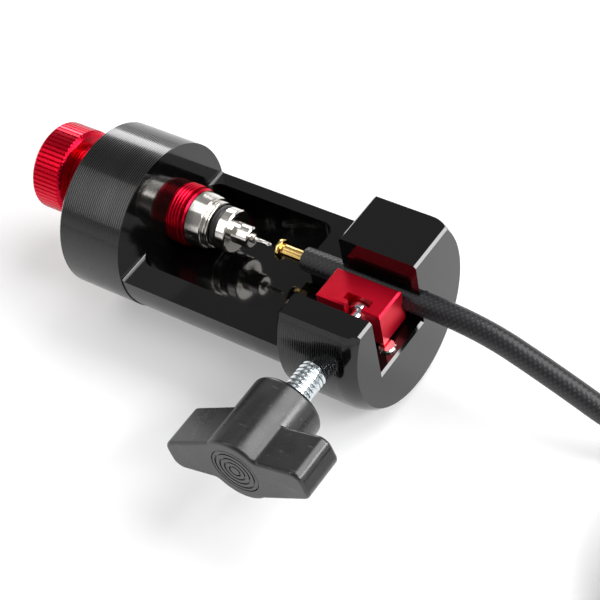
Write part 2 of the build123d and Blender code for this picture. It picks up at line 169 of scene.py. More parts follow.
# (turns from the coil's start, radius, height)
coil_plan = [
    (0.0, outer_turn, lower_layer_z),
    (0.75, outer_turn, lower_layer_z),
    (1.0, inner_turn, lower_layer_z),
    (1.5, inner_turn, lower_layer_z),
    (1.75, inner_turn, upper_layer_z),
    (2.25, inner_turn, upper_layer_z),
    (2.5, outer_turn, upper_layer_z),
    (3.2, outer_turn, upper_layer_z),
]
# A quadratic spline runs inside its control points by this share
corner_cut = 0.75 + 0.25 * cos(2 * pi / points_per_turn)


def coil_points():
    """Control points of the coil, read off the plan at even steps round the turns."""
    points = []
    for step in range(int(coil_plan[-1][0] * points_per_turn) + 1):
        turns = step / points_per_turn
        for before, after in zip(coil_plan, coil_plan[1:]):
            if before[0] <= turns <= after[0]:
                share = (turns - before[0]) / (after[0] - before[0])
                radius = before[1] + (after[1] - before[1]) * share
                height = before[2] + (after[2] - before[2]) * share
        around = first_angle - 2 * pi * turns
        reach = radius / corner_cut
        x = coil_middle.x + reach * cos(around)
        y = coil_middle.y + reach * sin(around)
        points.append((x, y, height))
    return points


hose_points = loose_route + coil_points()
print("coil", coil_plan[-1][0], "turns, outer turn", round(2 * outer_turn / MM, 1), "mm across")

# %% [markdown]
# The points are joined by one quadratic spline. Order 3 means quadratic, and the endpoint option
# makes the spline start and end exactly on its first and last point.

# %% Draw the centre line
spline_order = 3
steps_per_span = 10  # straight pieces between two control points
hose_curve = bpy.data.curves.new("brake_hose", "CURVE")
hose_curve.dimensions = "3D"
hose_spline = hose_curve.splines.new("NURBS")
hose_spline.points.add(len(hose_points) - 1)
for control, place in zip(hose_spline.points, hose_points):
    control.co = (*place, 1.0)
hose_spline.order_u = spline_order
hose_spline.use_endpoint_u = True
hose_spline.resolution_u = steps_per_span
hose = bpy.data.objects.new("brake_hose", hose_curve)
bpy.context.collection.objects.link(hose)
print("centre line drawn through", len(hose_points), "control points")

# %% [markdown]
# The length is measured on the bare centre line. The curve's own bevel then makes the round
# section, and converting it to a mesh keeps a UV map that runs along and around the tube. Its U
# is rescaled to metres, so that the braid can be drawn at its real size.

# %% Measure the hose
bpy.context.view_layer.update()
depsgraph = bpy.context.evaluated_depsgraph_get()
centre_line = bpy.data.meshes.new_from_object(hose.evaluated_get(depsgraph))
line_points = [v.co.copy() for v in centre_line.vertices]
bpy.data.meshes.remove(centre_line)

# %% Give the hose its round section
section_steps = 8  # more make the tube rounder
hose_curve.bevel_depth = hose_radius
hose_curve.bevel_resolution = section_steps
hose_curve.use_fill_caps = True
bpy.ops.object.select_all(action="DESELECT")
hose.select_set(True)
bpy.context.view_layer.objects.active = hose
bpy.ops.object.convert(target="MESH")
hose = bpy.context.object
reached = [0.0]
for a, b in zip(line_points, line_points[1:]):
    reached.append(reached[-1] + (b - a).length)
hose_map = hose.data.uv_layers[0]
for corner in hose_map.data:
    corner.uv.x = reached[round(corner.uv.x * (len(reached) - 1))]
print("hose mesh", len(hose.data.polygons), "faces; its UV map runs in metres along the hose")
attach(hose, "frame")
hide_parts("hose_run", "hose_coil")

# %% [markdown]
# ## Modelling helpers
#
# Most pieces here come off a lathe. By hand, a turned piece starts as a filled circle, and its
# face is then extruded and scaled from one station to the next. One helper does just that. The
# section could be spun with a Screw modifier instead, but then both ends would need closing.

# %% A helper for turned pieces
def turned(name, steps, sides=96):
    """A lathe-turned piece along +X, through (x, radius) steps in millimetres."""
    (x, radius), *rest = steps
    bpy.ops.object.select_all(action="DESELECT")
    bpy.ops.mesh.primitive_circle_add(
        vertices=sides, radius=radius * MM, fill_type="NGON",
        location=(x * MM, 0, 0), rotation=(0, pi / 2, 0),
    )
    piece = bpy.context.object
    piece.name = name
    bpy.ops.object.transform_apply(location=True, rotation=True, scale=True)
    bpy.ops.object.mode_set(mode="EDIT")
    bpy.ops.mesh.select_all(action="SELECT")
    for next_x, next_radius in rest:
        forwards = ((next_x - x) * MM, 0, 0)
        bpy.ops.mesh.extrude_region_move(TRANSFORM_OT_translate={"value": forwards})
        share = next_radius / radius
        bpy.ops.transform.resize(value=(1, share, share), center_override=(next_x * MM, 0, 0))
        x, radius = next_x, next_radius
    bpy.ops.mesh.select_all(action="SELECT")
    bpy.ops.mesh.remove_doubles(threshold=1e-7)
    bpy.ops.mesh.normals_make_consistent(inside=False)
    bpy.ops.object.mode_set(mode="OBJECT")
    print(name, "turned through", len(steps), "stations")
    return piece


print("helper: turned")

# %% [markdown]
# An operator works on all that is selected, so each helper below first selects its own piece and
# nothing else. They move a piece to its place, join pieces, and apply one modifier.

# %% Helpers that place, join and change a piece
def only(piece):
    """Deselects everything else and makes this piece the active one."""
    bpy.ops.object.select_all(action="DESELECT")
    piece.select_set(True)
    bpy.context.view_layer.objects.active = piece


def put(piece, where, turn=(0, 0, 0)):
    """Turns and moves a piece, and applies that, so that its object stays at the origin."""
    only(piece)
    piece.rotation_euler = turn
    piece.location = where
    bpy.ops.object.transform_apply(location=True, rotation=True, scale=True)


def join(piece, *others):
    """Makes several meshes one piece."""
    only(piece)
    for other in others:
        other.select_set(True)
    bpy.ops.object.join()
    return piece


def apply(piece, kind, **settings):
    """Adds one modifier with its settings and applies it."""
    only(piece)
    modifier = piece.modifiers.new(kind.lower(), kind)
    for key, value in settings.items():
        setattr(modifier, key, value)
    bpy.ops.object.modifier_apply(modifier=modifier.name)


print("helpers: only, put, join, apply")

# %% [markdown]
# No machined edge is perfectly sharp. A Bevel modifier rounds those over a given angle, the faces
# between them are shaded smooth, and weighted normals keep large flat faces flat in the light.

# %% A helper that rounds edges
def round_edges(piece, width, sharp=35, segments=2):
    """Rounds every edge sharper than an angle in degrees, by a width in millimetres."""
    apply(piece, "BEVEL", width=width * MM, segments=segments, limit_method="ANGLE",
          angle_limit=radians(sharp), harden_normals=False, miter_outer="MITER_ARC")
    only(piece)
    bpy.ops.object.shade_smooth_by_angle(angle=radians(sharp))
    apply(piece, "WEIGHTED_NORMAL", keep_sharp=True)


print("helper: round_edges")

# %% [markdown]
# A CAD shape that is already right only lacks its broken edges: a small chamfer catches the
# light as a thin bright line. The helper copies a node, merges its loose triangles back to clean
# faces, and bevels the sharp edges.

# %% A helper for CAD shapes that only need softer edges
merge_distance = 0.002 * MM
flat_enough = 0.3  # degrees between two triangles of the same face


def softened(name, node, width, sharp=30, segments=2):
    """A copy of a CAD node: triangles merged to clean faces, then its edges rounded."""
    only(frame["nodes"][node])
    bpy.ops.object.duplicate()
    piece = bpy.context.object
    piece.name = name
    piece.parent = None
    del piece["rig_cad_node"]
    bpy.ops.object.mode_set(mode="EDIT")
    bpy.ops.mesh.select_all(action="SELECT")
    bpy.ops.mesh.customdata_custom_splitnormals_clear()
    bpy.ops.mesh.remove_doubles(threshold=merge_distance)
    bpy.ops.mesh.dissolve_limited(angle_limit=radians(flat_enough))
    bpy.ops.object.mode_set(mode="OBJECT")
    round_edges(piece, width, sharp, segments)
    print(name, "has", len(piece.data.polygons), "faces")
    return piece


print("helper: softened")

# %% [markdown]
# ## Real threads
#
# A thread is one tooth's outline wound round a line: a plane is opened to a chain of three
# edges, its corners are moved to root, crest, crest and root, and a Screw modifier winds it.
# Two bisect cuts trim the ragged ends square and close them.

# %% Wind a thread
# The crest's flat takes this part of each pitch, and the two flanks take the rest
crest_from, crest_to = 0.36, 0.64


def wound_thread(name, pitch, crest, root, start, end, sides=72):
    """A thread along +X between two stations, in millimetres."""
    bpy.ops.object.select_all(action="DESELECT")
    bpy.ops.mesh.primitive_plane_add(size=pitch * MM)
    piece = bpy.context.object
    piece.name = name
    bpy.ops.object.mode_set(mode="EDIT")
    bpy.ops.mesh.select_mode(type="EDGE")
    bpy.ops.mesh.select_all(action="DESELECT")
    outline = bmesh.from_edit_mesh(piece.data)
    outline.edges.ensure_lookup_table()
    outline.edges[0].select = True
    bmesh.update_edit_mesh(piece.data)
    bpy.ops.mesh.delete(type="EDGE")
    outline = bmesh.from_edit_mesh(piece.data)
    tip = next(v for v in outline.verts if len(v.link_edges) == 1)
    chain = [tip]
    while len(chain) < 4:
        chain += [e.other_vert(chain[-1]) for e in chain[-1].link_edges
                  if e.other_vert(chain[-1]) not in chain]
    tooth = ((0, root), (crest_from, crest), (crest_to, crest), (1, root))
    for corner, (along, radius) in zip(chain, tooth):
        corner.co = ((start - pitch + along * pitch) * MM, 0, radius * MM)
    bmesh.update_edit_mesh(piece.data)
    bpy.ops.object.mode_set(mode="OBJECT")
    apply(piece, "SCREW", axis="X", angle=2 * pi, screw_offset=pitch * MM,
          iterations=int((end - start) / pitch) + 3, steps=sides, render_steps=sides,
          use_merge_vertices=False)
    bpy.ops.object.mode_set(mode="EDIT")
    bpy.ops.mesh.select_mode(type="VERT")
    for cut, inner, outer in ((start, True, False), (end, False, True)):
        bpy.ops.mesh.select_all(action="SELECT")
        bpy.ops.mesh.remove_doubles(threshold=1e-7)
        bpy.ops.mesh.bisect(plane_co=(cut * MM, 0, 0), plane_no=(1, 0, 0), use_fill=True,
                            clear_inner=inner, clear_outer=outer)
    bpy.ops.mesh.select_all(action="SELECT")
    bpy.ops.mesh.normals_make_consistent(inside=False)
    bpy.ops.object.mode_set(mode="OBJECT")
    print(name, "has", len(piece.data.polygons), "faces, x",
          [round(f(v.co.x for v in piece.data.vertices) / MM, 2) for f in (min, max)])
    return piece


print("helper: wound_thread")

# %% [markdown]
# ## Materials
#
# Each finish is one node material, named for the real stuff. Colours are written as the hex
# values of a paint chart and turned to the linear values that a shader works in. One helper adds
# a node, and every pattern is sized in millimetres of the real surface.

# %% Colour and node helpers
def linear(chart):
    """An sRGB hex colour as linear red, green, blue and alpha."""
    parts = [int(chart[start:start + 2], 16) / 255 for start in (1, 3, 5)]
    return (*[p / 12.92 if p <= 0.04045 else ((p + 0.055) / 1.055) ** 2.4 for p in parts], 1.0)


def add_node(tree, kind, feeds=None, **settings):
    """Adds a node. Settings are its options; feeds gives its inputs values or links."""
    made = tree.nodes.new(kind)
    for key, value in settings.items():
        setattr(made, key, value)
    for key, value in (feeds or {}).items():
        if isinstance(value, bpy.types.NodeSocket):
            tree.links.new(value, made.inputs[key])
        else:
            made.inputs[key].default_value = value
    return made


def new_finish(name, **sockets):
    """A material with a Principled shader; sockets are its fixed values."""
    material = bpy.data.materials.new(name)
    material.use_nodes = True
    shader = material.node_tree.nodes["Principled BSDF"]
    for key, value in sockets.items():
        shader.inputs[key.replace("_", " ")].default_value = value
    return material, material.node_tree, shader


def cover(piece, material):
    """Gives a piece its one material."""
    if piece.material_slots:
        for place in piece.material_slots:
            place.material = material
    else:
        piece.data.materials.append(material)


print("helpers: linear, add_node, new_finish, cover")
print("the hex grey #808080 is", round(linear("#808080")[0], 3), "in linear light")

# %% [markdown]
# ### Black anodised aluminium
#
# The body is turned from bar, milled open and anodised: a hard, clear oxide that is dyed black,
# so it mirrors like dark glass. The lathe's tool leaves fine rings round every turned surface. A
# wave along X draws them, and a slow noise makes some of them stronger than others.

# %% Lathe rings
def rings_along_x(tree, spacing, uneven):
    """Rings every so many millimetres along X, which fade in and out over a longer distance."""
    place = add_node(tree, "ShaderNodeTexCoord")
    # A wave texture repeats every 2 pi / 20 at scale 1
    ripple = add_node(tree, "ShaderNodeTexWave", {
        "Vector": place.outputs["Object"], "Scale": 2 * pi / 20 / (spacing * MM)},
        bands_direction="X")
    stretch = add_node(tree, "ShaderNodeMapping", {
        "Vector": place.outputs["Object"], "Scale": (1, 0, 0)})
    drift = add_node(tree, "ShaderNodeTexNoise", {
        "Vector": stretch.outputs[0], "Scale": 1 / (uneven * MM), "Detail": 1.0})
    both = add_node(tree, "ShaderNodeMath", {
        0: ripple.outputs["Fac"], 1: drift.outputs["Fac"]}, operation="MULTIPLY")
    return place, both.outputs[0]


print("helper: rings_along_x")

# %% [markdown]
# The milled flats have no rings, so the material has to tell turned surfaces from flat ones. A
# turned surface faces straight away from the lathe's axis: its normal and the direction from the
# axis agree. A painted mask would do it too, but this needs no painting.

# %% Tell turned surfaces from flats
# The body's turned outside is farther than this from the axis, in millimetres
lathe_reach = 17


def turned_share(tree, place):
    """1 on surfaces that face straight away from the X axis, and 0 on flats."""
    outward = add_node(tree, "ShaderNodeVectorMath", {
        0: place.outputs["Object"], 1: (0, 1, 1)}, operation="MULTIPLY")
    unit = add_node(tree, "ShaderNodeVectorMath", {0: outward.outputs[0]}, operation="NORMALIZE")
    facing = add_node(tree, "ShaderNodeVectorMath", {
        0: unit.outputs[0], 1: place.outputs["Normal"]}, operation="DOT_PRODUCT")
    reach = add_node(tree, "ShaderNodeVectorMath", {0: outward.outputs[0]}, operation="LENGTH")
    outside = add_node(tree, "ShaderNodeMath", {
        0: reach.outputs["Value"], 1: lathe_reach * MM}, operation="GREATER_THAN")
    steep = add_node(tree, "ShaderNodeMapRange", {
        "Value": facing.outputs["Value"], "From Min": 0.97, "From Max": 0.995})
    both = add_node(tree, "ShaderNodeMath", {
        0: steep.outputs[0], 1: outside.outputs[0]}, operation="MULTIPLY")
    return both.outputs[0]


print("helper: turned_share, past", lathe_reach, "mm from the axis")

# %% [markdown]
# The rings change two things. They are a height for the bump, and they also make the gloss
# duller in bands, because ridges too fine to see scatter the light. Real rings are finer: they
# are drawn 0.5 mm apart so that they show. The flats only have faint smears.

# %% Black anodised
ring_spacing = 0.5  # mm
ring_depth = 0.012  # mm
patch_size = 6  # mm, over which rings and smears get stronger and fainter
black_anodised, tree, shader = new_finish(
    "black_anodised_aluminium", Base_Color=linear("#060606"), Metallic=0.0, IOR=1.48)
place, rings = rings_along_x(tree, ring_spacing, patch_size)
on_lathe = turned_share(tree, place)
ring_height = add_node(tree, "ShaderNodeMath", {0: rings, 1: on_lathe}, operation="MULTIPLY")
ring_bump = add_node(tree, "ShaderNodeBump", {
    "Height": ring_height.outputs[0], "Distance": ring_depth * MM, "Strength": 1.0})
smears = add_node(tree, "ShaderNodeTexNoise", {
    "Vector": place.outputs["Object"], "Scale": 1 / (patch_size * MM), "Detail": 4.0})
milled_gloss = add_node(tree, "ShaderNodeMapRange", {
    "Value": smears.outputs["Fac"], "From Min": 0.3, "From Max": 0.7,
    "To Min": 0.07, "To Max": 0.12})
turned_gloss = add_node(tree, "ShaderNodeMapRange", {
    "Value": rings, "From Min": 0.12, "From Max": 0.4, "To Min": 0.08, "To Max": 0.34})
gloss = add_node(tree, "ShaderNodeMix", {
    0: on_lathe, 2: milled_gloss.outputs[0], 3: turned_gloss.outputs[0]})
tree.links.new(gloss.outputs[0], shader.inputs["Roughness"])
tree.links.new(ring_bump.outputs[0], shader.inputs["Normal"])
print("made", black_anodised.name)

# %% [markdown]
# ### Red anodised aluminium
#
# The knob, spindle and clamp block are dyed red. Bare metal shines through the thin dye, so the
# red is metallic: it has coloured highlights and no grey ones. The block was blasted before it
# was dyed, so it is rougher. The other finishes below share this fine grain.

# %% A helper for fine grain
# Handling leaves cloudy patches of more and less gloss, about this size in millimetres
cloud_size = 5


def grained(tree, shader, grain, depth, rough_low, rough_high):
    """A fine even grain, in millimetres, for blasted, plated and moulded surfaces."""
    place = add_node(tree, "ShaderNodeTexCoord")
    speck = add_node(tree, "ShaderNodeTexNoise", {
        "Vector": place.outputs["Object"], "Scale": 1 / (grain * MM), "Detail": 2.0})
    bump = add_node(tree, "ShaderNodeBump", {
        "Height": speck.outputs["Fac"], "Distance": depth * MM, "Strength": 1.0})
    cloud = add_node(tree, "ShaderNodeTexNoise", {
        "Vector": place.outputs["Object"], "Scale": 1 / (cloud_size * MM), "Detail": 3.0})
    rough = add_node(tree, "ShaderNodeMapRange", {
        "Value": cloud.outputs["Fac"], "From Min": 0.3, "From Max": 0.7,
        "To Min": rough_low, "To Max": rough_high})
    tree.links.new(rough.outputs[0], shader.inputs["Roughness"])
    tree.links.new(bump.outputs[0], shader.inputs["Normal"])


print("helper: grained, with", cloud_size, "mm clouds")

# %% Red anodised
# After the shader: grain size and depth in millimetres, lowest and highest roughness
red_anodised, tree, shader = new_finish(
    "red_anodised_aluminium", Base_Color=linear("#c80428"), Metallic=0.9)
grained(tree, shader, 0.25, 0.003, 0.20, 0.28)
red_blasted, tree, shader = new_finish(
    "red_anodised_blasted", Base_Color=linear("#ce0226"), Metallic=0.75)
grained(tree, shader, 0.2, 0.004, 0.30, 0.38)
print("made", red_anodised.name, "and", red_blasted.name)

# %% [markdown]
# ### Plated, zinc, brass and black oxide steel
#
# The pusher is steel, turned, polished and nickel plated, so it mirrors the studio with a warm
# white tint and faint tool rings. The stud is bright zinc, a little bluer and rougher. The insert
# is turned brass. The knob's bolt is black oxide, a dark and rather dull metal.

# %% Nickel plated steel
polished_steel, tree, shader = new_finish(
    "nickel_plated_steel", Base_Color=linear("#dedad4"), Metallic=1.0, Roughness=0.17)
tool_ring_spacing = 0.3  # mm
tool_ring_depth = 0.006  # mm
_, rings = rings_along_x(tree, tool_ring_spacing, 1.0)
rings_bump = add_node(tree, "ShaderNodeBump", {
    "Height": rings, "Distance": tool_ring_depth * MM, "Strength": 1.0})
tree.links.new(rings_bump.outputs[0], shader.inputs["Normal"])
print("made", polished_steel.name)

# %% Zinc, brass and black oxide
zinc_steel, tree, shader = new_finish(
    "bright_zinc_plated_steel", Base_Color=linear("#dde3e6"), Metallic=1.0)
grained(tree, shader, 0.2, 0.004, 0.16, 0.26)
turned_brass, tree, shader = new_finish(
    "turned_brass", Base_Color=linear("#e2bd74"), Metallic=1.0)
grained(tree, shader, 0.3, 0.002, 0.10, 0.16)
black_oxide, tree, shader = new_finish(
    "black_oxide_steel", Base_Color=linear("#202022"), Metallic=1.0)
grained(tree, shader, 0.2, 0.004, 0.32, 0.42)
print("made", zinc_steel.name, turned_brass.name, black_oxide.name)

# %% [markdown]
# ### Rubber and moulded nylon
#
# The ring is nitrile rubber, black and half dull, and the hose's inner tube is a slippery, pale
# plastic. The clamp's knob is moulded in glass-filled nylon: a fine spark-eroded grain, and pale
# scuffs where it has rubbed in the tool box. The scuffs are noise, stretched along the wings.

# %% Rubber and inner tube
nitrile, tree, shader = new_finish("nitrile_rubber", Base_Color=linear("#18181a"))
grained(tree, shader, 0.2, 0.004, 0.34, 0.44)
inner_tube, tree, shader = new_finish("hose_inner_tube", Base_Color=linear("#c9c4b8"), IOR=1.4)
grained(tree, shader, 0.2, 0.004, 0.4, 0.5)
print("made", nitrile.name, "and", inner_tube.name)

# %% Moulded nylon
scuff_width = 0.5  # mm, coarser than real scuffs, so that they show
scuff_stretch = 0.12
moulded_nylon, tree, shader = new_finish("moulded_black_nylon", IOR=1.6)
grained(tree, shader, 0.22, 0.012, 0.24, 0.34)
place = add_node(tree, "ShaderNodeTexCoord")
along_grain = add_node(tree, "ShaderNodeMapping", {
    "Vector": place.outputs["Object"], "Scale": (scuff_stretch, 1, 1), "Rotation": (0, 0.3, 0.2)})
scuffs = add_node(tree, "ShaderNodeTexNoise", {
    "Vector": along_grain.outputs[0], "Scale": 1 / (scuff_width * MM), "Detail": 2.0})
scuffed = add_node(tree, "ShaderNodeMapRange", {
    "Value": scuffs.outputs["Fac"], "From Min": 0.64, "From Max": 0.74})
nylon_colour = add_node(tree, "ShaderNodeMix", {
    "Factor": scuffed.outputs[0], "A": linear("#121214"), "B": linear("#3c3c40")},
    data_type="RGBA")
tree.links.new(nylon_colour.outputs["Result"], shader.inputs["Base Color"])
print("made", moulded_nylon.name)

# %% [markdown]
# ### Brake hose
#
# The hose is nylon drawn over a woven braid. The braid shows through as two sets of crossing
# diagonals, 1.1 mm apart, which two waves make when they are multiplied. The loose hose reads its
# UV map, and the held length, a straight CAD node, works out the same numbers from its place.

# %% Hose nylon over its braid
braid_step = 1.1 * MM
braid_strands = 12  # crossings in one turn round the hose
dimple_depth = 0.03  # mm


def braided(name, from_uv):
    """Thin nylon drawn over a braid, whose diagonal weave shows through as rows of dimples."""
    material, tree, shader = new_finish(name, IOR=1.5, Roughness=0.4)
    place = add_node(tree, "ShaderNodeTexCoord")
    if from_uv:
        parts = add_node(tree, "ShaderNodeSeparateXYZ", {"Vector": place.outputs["UV"]})
        along, turns = parts.outputs["X"], parts.outputs["Y"]
    else:
        centred = add_node(tree, "ShaderNodeVectorMath", {
            0: place.outputs["Object"], 1: (0, tool_y, 0)}, operation="SUBTRACT")
        parts = add_node(tree, "ShaderNodeSeparateXYZ", {"Vector": centred.outputs[0]})
        around = add_node(tree, "ShaderNodeMath", {
            0: parts.outputs["Y"], 1: parts.outputs["Z"]}, operation="ARCTAN2")
        turn = add_node(tree, "ShaderNodeMath", {
            0: around.outputs[0], 1: 2 * pi}, operation="DIVIDE")
        along, turns = parts.outputs["X"], turn.outputs[0]
    dimples = []
    for strands in (braid_strands, -braid_strands):
        wound = add_node(tree, "ShaderNodeMath", {
            0: turns, 1: strands * braid_step}, operation="MULTIPLY")
        spot = add_node(tree, "ShaderNodeCombineXYZ", {"X": along, "Y": wound.outputs[0]})
        # A diagonal wave repeats every 2 pi / 10 at scale 1
        wave = add_node(tree, "ShaderNodeTexWave", {
            "Vector": spot.outputs[0], "Scale": 2 * pi / 10 / braid_step},
            bands_direction="DIAGONAL")
        dimples.append(wave.outputs["Fac"])
    weave = add_node(tree, "ShaderNodeMath", {
        0: dimples[0], 1: dimples[1]}, operation="MULTIPLY")
    colour = add_node(tree, "ShaderNodeMix", {
        "Factor": weave.outputs[0], "A": linear("#0e0e10"), "B": linear("#28282c")},
        data_type="RGBA")
    tree.links.new(colour.outputs["Result"], shader.inputs["Base Color"])
    bump = add_node(tree, "ShaderNodeBump", {
        "Height": weave.outputs[0], "Distance": dimple_depth * MM, "Strength": 1.0})
    tree.links.new(bump.outputs[0], shader.inputs["Normal"])
    return material


hose_nylon = braided("extruded_hose_nylon", from_uv=True)
held_hose_nylon = braided("extruded_hose_nylon_held", from_uv=False)
print("made", hose_nylon.name, "and", held_hose_nylon.name)

# %% [markdown]
# ## Body
#
# The body is one bar of aluminium, turned to two diameters and milled open at the top, with a
# blind pocket and a slot for the block. The CAD shape is already right, so only its edges are
# broken, with a flat 0.2 mm chamfer as a deburring tool leaves it.

# %% Body shell
body_shell = softened("body_shell", "body", 0.2, segments=1)
cover(body_shell, black_anodised)
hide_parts("body")
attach(body_shell, "frame")

# %% [markdown]
# ## Clamp block
#
# The sliding jaw is milled from bar, blasted and dyed red. Blasting rounds its edges a little more
# than a cutter does, so they get a soft round instead of a flat chamfer.

# %% Jaw block
jaw_block = softened("jaw_block", "clamp_block", 0.12)
cover(jaw_block, red_blasted)
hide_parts("clamp_block")
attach(jaw_block, "jaw")

# %% [markdown]
# ## Drive knob
#
# Straight knurling is rolled into the knob's rim. The grooves are in the CAD shape. Their edges
# are nearly flat to each other, so the angle that counts as sharp is lowered to find them.

# %% Knurled knob
knurled_knob = softened("knurled_knob", "drive_knob", 0.06, sharp=20)
cover(knurled_knob, red_anodised)
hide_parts("drive_knob")
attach(knurled_knob, "drive")

# %% [markdown]
# ## Spindle
#
# The spindle's fine thread, 0.75 mm a turn, is what moves the pusher forward as the knob turns.
# It is wound as a real helix, and its plain tip is turned and joined on.

# %% Spindle with its fine thread
spindle_end = high("spindle", 0) / MM
spindle_crest = node_radius("spindle")
spindle_pitch = 0.75
spindle_thread_depth = 0.35
inside_knob = 1.5  # how far inside the knob the thread starts
plain_tip_length = 1.0
plain_tip_radius = 6.3
thread_start = high("drive_knob", 0) / MM - inside_knob
thread_end = spindle_end - plain_tip_length
spindle_thread = wound_thread(
    "spindle_thread", spindle_pitch, spindle_crest, spindle_crest - spindle_thread_depth,
    thread_start, thread_end)
spindle_tip = turned("spindle_tip", [
    (thread_end - 0.3, plain_tip_radius - 0.4), (thread_end, plain_tip_radius - 0.4),
    (thread_end, plain_tip_radius - 0.3), (thread_end + 0.2, plain_tip_radius),
    (spindle_end - 0.3, plain_tip_radius), (spindle_end, plain_tip_radius - 0.3),
    (spindle_end, 5.0),
])
spindle_piece = join(spindle_thread, spindle_tip)
put(spindle_piece, (0, tool_y, 0))
only(spindle_piece)
bpy.ops.object.shade_smooth_by_angle(angle=radians(25))
cover(spindle_piece, red_anodised)
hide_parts("spindle")
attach(spindle_piece, "drive")

# %% [markdown]
# ## Clamp stud
#
# The stud is a rolled 1 mm thread. Behind the thread it has a thin neck and a round head, which
# sit in the block's T-slot, so that the stud can turn and still pull the block back. Both are made
# along X, as every turned piece here, and are then turned to point along Y.

# %% Clamp stud with its thread
stud_pitch = 1.0
stud_crest = 2.9
stud_thread_depth = 0.5
stud_thread_length = 21.7
stud_thread_end = 7.2  # how far from the XZ plane the thread stops and the neck starts
stud_thread = wound_thread(
    "stud_thread", stud_pitch, stud_crest, stud_crest - stud_thread_depth,
    -stud_thread_end - stud_thread_length, -stud_thread_end, sides=96)
put(stud_thread, (stud_x, 0, 0), (0, 0, pi / 2))
stud_reach = [round(f(v.co.y for v in stud_thread.data.vertices) / MM, 2) for f in (min, max)]
print("stud thread turned to run along y", stud_reach)

# %% Neck and T-head of the stud
stud_tip = -high("clamp_stud", 1) / MM
head_end = stud_tip + 1.5
head_radius = 2.75
neck_radius = 1.7
stud_neck = turned("stud_neck", [
    (stud_tip, 2.4), (stud_tip, head_radius - 0.15), (stud_tip + 0.15, head_radius),
    (head_end - 0.15, head_radius), (head_end, head_radius - 0.15), (head_end, neck_radius),
    (stud_thread_end, neck_radius), (stud_thread_end, 2.3), (stud_thread_end + 0.4, 2.4),
])
put(stud_neck, (stud_x, 0, 0), (0, 0, -pi / 2))
stud_piece = join(stud_thread, stud_neck)
only(stud_piece)
bpy.ops.object.shade_smooth_by_angle(angle=radians(25))
cover(stud_piece, zinc_steel)
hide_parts("clamp_stud")
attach(stud_piece, "clamp_screw")

# %% [markdown]
# ## Pusher
#
# The sleeve follows the spindle without turning. It tapers a little towards the front, so its
# highlight runs across it at a slant. Each piece is turned anew, between the ends of its CAD
# node, because a smooth lathe surface mirrors far better than the CAD's flat facets.

# %% A helper that finishes a turned piece
def dress(piece, width, finish, node, ride, sharp=35):
    """Moves a turned piece to the tool axis, rounds its edges and puts it in its node's place."""
    put(piece, (0, tool_y, 0))
    round_edges(piece, width, sharp)
    cover(piece, finish)
    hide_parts(node)
    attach(piece, ride)
    print(piece.name, "has", len(piece.data.polygons), "faces")


print("helper: dress")

# %% Plated sleeve
spigot_start = low("pusher_sleeve", 0) / MM
spigot_radius = 3.5
sleeve_end = high("pusher_sleeve", 0) / MM
sleeve_start = sleeve_end - 3.75
sleeve_radius = node_radius("pusher_sleeve")
sleeve_taper = 0.35
sleeve_front_radius = sleeve_radius - sleeve_taper
sleeve_edge = 0.25
tip_shank_radius = 2.9
sleeve_piece = turned("plated_sleeve", [
    (spigot_start, spigot_radius - 0.3), (spigot_start + 0.3, spigot_radius),
    (sleeve_start, spigot_radius), (sleeve_start, sleeve_radius - sleeve_edge),
    (sleeve_start + sleeve_edge, sleeve_radius), (sleeve_end - sleeve_edge, sleeve_front_radius),
    (sleeve_end, sleeve_front_radius - sleeve_edge), (sleeve_end, tip_shank_radius),
])
dress(sleeve_piece, 0.08, polished_steel, "pusher_sleeve", "pusher")

# %% [markdown]
# A thin ring with one groove backs the rubber ring up. The groove is only 0.25 mm deep, but it
# gives the ring its dark line.

# %% Backing ring
ring_end = high("backing_ring", 0) / MM
ring_radius = node_radius("backing_ring")
ring_bore = 3.0
ring_edge = 0.15
groove_half, groove_depth = 0.2, 0.25
ring_middle = (sleeve_end + ring_end) / 2
ring_piece = turned("plated_backing_ring", [
    (sleeve_end, ring_bore), (sleeve_end, ring_radius - ring_edge),
    (sleeve_end + ring_edge, ring_radius), (ring_middle - groove_half, ring_radius),
    (ring_middle, ring_radius - groove_depth), (ring_middle + groove_half, ring_radius),
    (ring_end - ring_edge, ring_radius), (ring_end, ring_radius - ring_edge),
    (ring_end, ring_bore),
])
dress(ring_piece, 0.05, polished_steel, "backing_ring", "pusher")

# %% [markdown]
# The tip is one piece: a shank under the rings, a disc that keeps the nose in line, and the nose
# that presses on the insert's flange.

# %% Press tip
nose_end = high("press_tip", 0) / MM
nose_radius = 2.3
nose_start = nose_end - 4.0
disc_radius = node_radius("press_tip")
disc_start = nose_start - 2.5
tip_piece = turned("plated_press_tip", [
    (sleeve_end - 1.0, 2.0), (sleeve_end, 2.0), (sleeve_end, tip_shank_radius),
    (disc_start, tip_shank_radius), (disc_start, disc_radius - 0.2),
    (disc_start + 0.2, disc_radius), (nose_start - 0.3, disc_radius),
    (nose_start, disc_radius - 0.3), (nose_start, nose_radius), (nose_end - 0.3, nose_radius),
    (nose_end, nose_radius - 0.3), (nose_end, 0.6),
])
dress(tip_piece, 0.06, polished_steel, "press_tip", "pusher")

# %% [markdown]
# The needle guides the insert. It stands in a small collar and is fluted, like a fine broach: four
# of sixteen corners are pushed in, and the section is then extruded with a small turn at each
# step, so that the flutes twist.

# %% Needle collar
collar_end = nose_end + 0.5
needle_collar = turned("plated_needle", [
    (nose_end - 0.2, 1.0), (collar_end, 1.0), (collar_end + 0.3, 0.6), (collar_end + 0.3, 0.3),
], sides=48)

